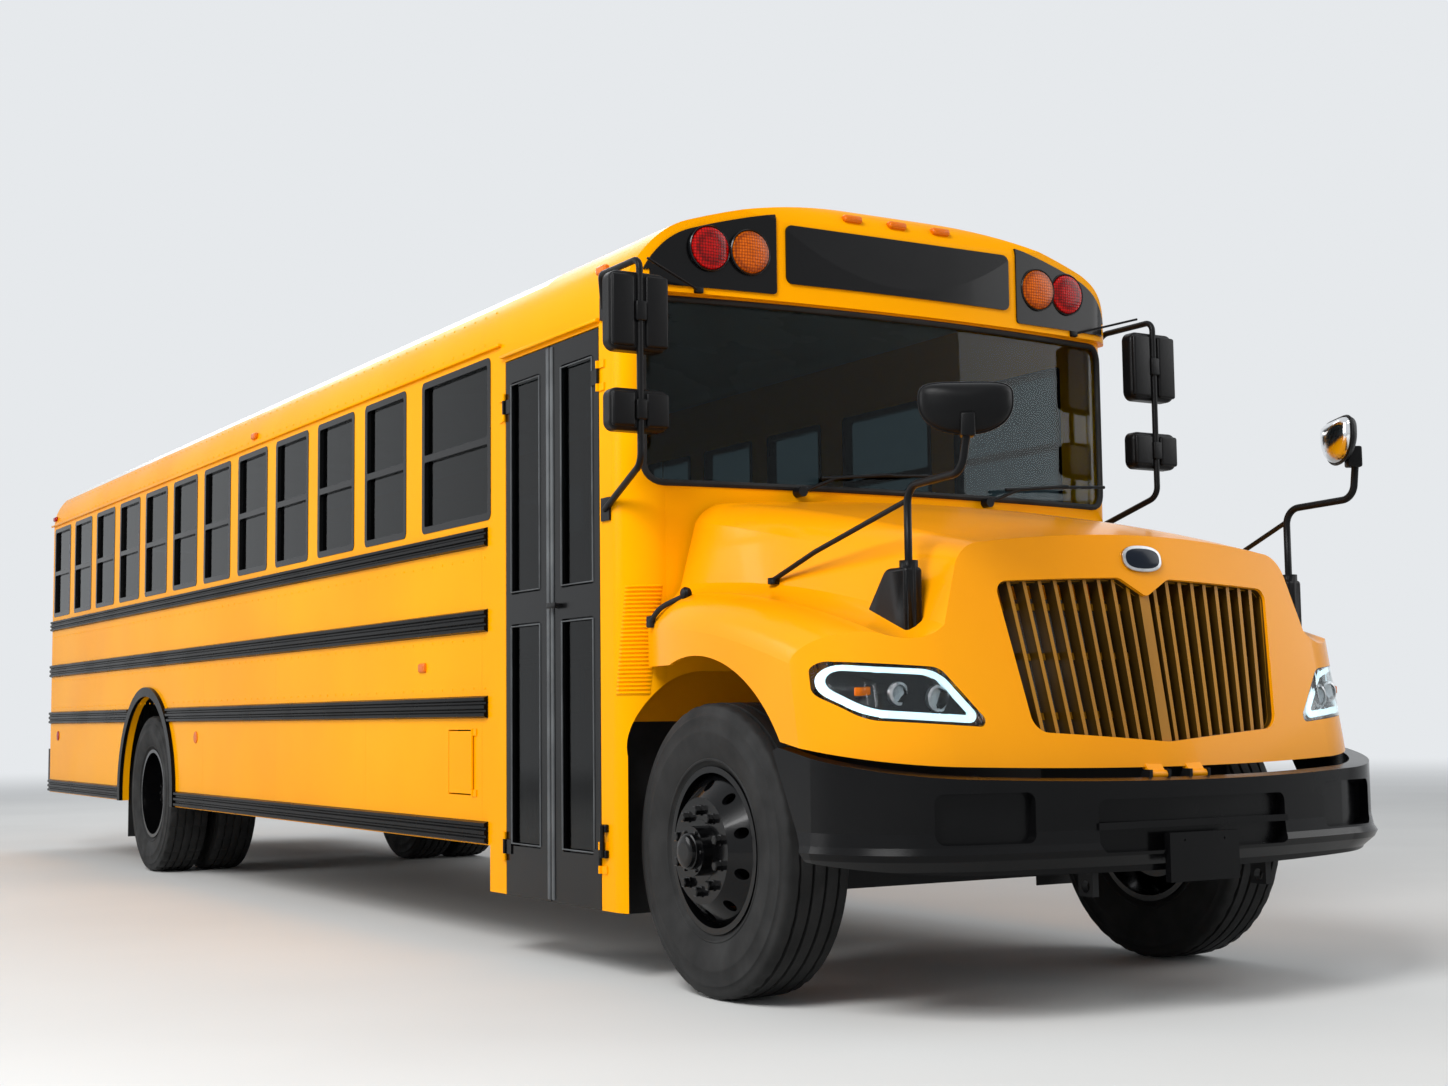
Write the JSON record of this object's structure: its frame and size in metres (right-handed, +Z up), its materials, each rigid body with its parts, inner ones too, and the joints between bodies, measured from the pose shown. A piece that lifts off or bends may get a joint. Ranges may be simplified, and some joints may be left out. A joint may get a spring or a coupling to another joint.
{
  "type": "school bus",
  "caption": "Full-size school bus with a hooded nose, hollow cabin with seats and windows, steered front wheels, twin rear wheels, swinging service doors and tilting hood.",
  "frame": {"origin": "centre of the footprint of the whole bus, mirrors and bumpers included, at the ground under the tyres", "axes": "+Z up, the nose points to -Y, +X is the driver's side (the bus's left)"},
  "size_m": [2.808, 11.9118, 3.095],
  "materials": {
    "body_paint": "gloss yellow-orange paint",
    "roof_paint": "gloss white paint",
    "black_trim": "satin black paint",
    "black_plastic": "grained black plastic",
    "chassis_black": "chassis black",
    "floor_rubber": "ribbed rubber floor on steel",
    "tinted_glass": "dark tinted glass",
    "clear_glass": "clear glass",
    "tyre": "black tyre rubber",
    "wheel_black": "black painted steel wheel",
    "lamp_glass": "clear lamp cover over a dark housing",
    "lamp_lens": "red and amber lenses",
    "grille_fins": "yellow fins",
    "stop_red": "blank red blade",
    "seat_vinyl": "dark vinyl",
    "cabin_plastic": "dark grey plastic",
    "spring_steel": "dull spring steel",
    "cast_metal": "cast iron",
    "pipe_steel": "aluminised steel pipe",
    "core_aluminium": "radiator core",
    "flap_rubber": "black rubber sheet"
  },
  "bodies": {
    "bus_body": {"side_wall_right": "body_paint", "side_wall_left": "body_paint", "roof_panel": "roof_paint", "front_roof_cap": "body_paint", "front_wall": "body_paint", "windscreen": "tinted_glass", "rear_wall": "body_paint", "floor_panel": "floor_rubber", "floor_sills": "chassis_black", "window_frames": "black_trim", "window_glass": "tinted_glass", "rub_rails": "black_trim", "front_bumper": "black_plastic", "rear_bumper": "chassis_black", "corner_mirrors": "black_plastic", "lamp_panels": "black_trim", "lamps": "lamp_lens", "wipers": "black_plastic", "seat_cushions": "seat_vinyl", "seat_legs": "chassis_black", "seat_backs": "seat_vinyl", "dashboard": "cabin_plastic", "frame_rails": "chassis_black", "engine_block": "cast_metal", "radiator": "core_aluminium", "fuel_tank": "chassis_black", "drive_shaft": "chassis_black", "exhaust_pipe": "pipe_steel", "mud_flaps": "flap_rubber", "leaf_springs": "spring_steel", "front_axle": "chassis_black", "rear_axle": "chassis_black"},
    "hood": {"hood_shell": "body_paint", "grille": "grille_fins", "headlamps": "lamp_glass", "cross_view_mirrors": "black_plastic"},
    "door_front": {"door_leaf_front": "black_trim", "door_glass_front": "tinted_glass"},
    "door_rear": {"door_leaf_rear": "black_trim", "door_glass_rear": "tinted_glass"},
    "emergency_door": {"emergency_door": "body_paint", "emergency_door_glass": "tinted_glass"},
    "roof_hatch_front": {"roof_hatch_front": "roof_paint"},
    "roof_hatch_rear": {"roof_hatch_rear": "roof_paint"},
    "stop_arm": {"stop_arm": "stop_red"},
    "fuel_flap": {"fuel_flap": "body_paint"},
    "steering_wheel": {"steering_wheel": "cabin_plastic"},
    "knuckle_left": {"knuckle_left": "cast_metal"},
    "knuckle_right": {"knuckle_right": "cast_metal"},
    "front_wheel_left": {"front_tyre_left": "tyre", "front_rim_left": "wheel_black"},
    "front_wheel_right": {"front_tyre_right": "tyre", "front_rim_right": "wheel_black"},
    "rear_wheels_left": {"rear_tyres_left": "tyre", "rear_rims_left": "wheel_black"},
    "rear_wheels_right": {"rear_tyres_right": "tyre", "rear_rims_right": "wheel_black"}
  },
  "joints": [
    {"name": "hood_tilt", "type": "hinge", "parent": "bus_body", "child": "hood", "pos_m": [0, -5.8224, 0.785], "axis": [1, 0, 0], "range_deg": [0, 60]},
    {"name": "steer_left", "type": "hinge", "parent": "bus_body", "child": "knuckle_left", "pos_m": [0.89, -4.6724, 0.523], "axis": [0, 0, 1], "range_deg": [-38, 38]},
    {"name": "steer_right", "type": "hinge", "parent": "bus_body", "child": "knuckle_right", "pos_m": [-0.89, -4.6724, 0.523], "axis": [0, 0, 1], "range_deg": [-38, 38]},
    {"name": "front_wheel_left_spin", "type": "hinge", "parent": "knuckle_left", "child": "front_wheel_left", "pos_m": [1.025, -4.6724, 0.523], "axis": [1, 0, 0], "continuous": true},
    {"name": "front_wheel_right_spin", "type": "hinge", "parent": "knuckle_right", "child": "front_wheel_right", "pos_m": [-1.025, -4.6724, 0.523], "axis": [1, 0, 0], "continuous": true},
    {"name": "rear_wheels_left_spin", "type": "hinge", "parent": "bus_body", "child": "rear_wheels_left", "pos_m": [0.9025, 2.7476, 0.523], "axis": [1, 0, 0], "continuous": true},
    {"name": "rear_wheels_right_spin", "type": "hinge", "parent": "bus_body", "child": "rear_wheels_right", "pos_m": [-0.9025, 2.7476, 0.523], "axis": [1, 0, 0], "continuous": true},
    {"name": "steering_wheel_turn", "type": "hinge", "parent": "bus_body", "child": "steering_wheel", "pos_m": [0.63, -3.4924, 1.74], "axis": [0, 0.5736, 0.8192], "range_deg": [-610, 610]},
    {"name": "door_front_swing", "type": "hinge", "parent": "bus_body", "child": "door_front", "pos_m": [-1.227, -3.9724, 1.4], "axis": [0, 0, 1], "range_deg": [0, 88]},
    {"name": "door_rear_swing", "type": "hinge", "parent": "bus_body", "child": "door_rear", "pos_m": [-1.227, -3.0924, 1.4], "axis": [0, 0, 1], "range_deg": [-88, 0]},
    {"name": "emergency_door_swing", "type": "hinge", "parent": "bus_body", "child": "emergency_door", "pos_m": [-0.476, 5.8466, 1.74], "axis": [0, 0, 1], "range_deg": [0, 105]},
    {"name": "roof_hatch_front_lift", "type": "hinge", "parent": "bus_body", "child": "roof_hatch_front", "pos_m": [0, -1.6164, 3.079], "axis": [1, 0, 0], "range_deg": [0, 50]},
    {"name": "roof_hatch_rear_lift", "type": "hinge", "parent": "bus_body", "child": "roof_hatch_rear", "pos_m": [0, 3.3836, 3.079], "axis": [1, 0, 0], "range_deg": [0, 50]},
    {"name": "stop_arm_swing", "type": "hinge", "parent": "bus_body", "child": "stop_arm", "pos_m": [1.246, -2.8724, 1.6], "axis": [0, 0, -1], "range_deg": [0, 90]},
    {"name": "fuel_flap_swing", "type": "hinge", "parent": "bus_body", "child": "fuel_flap", "pos_m": [-1.225, -2.7481, 0.8075], "axis": [0, 0, 1], "range_deg": [0, 100]}
  ],
  "couplings": [
    {"joint": "steer_right", "follows": "steer_left", "ratio": 1},
    {"joint": "steering_wheel_turn", "follows": "steer_left", "ratio": 16},
    {"joint": "door_rear_swing", "follows": "door_front_swing", "ratio": -1}
  ]
}
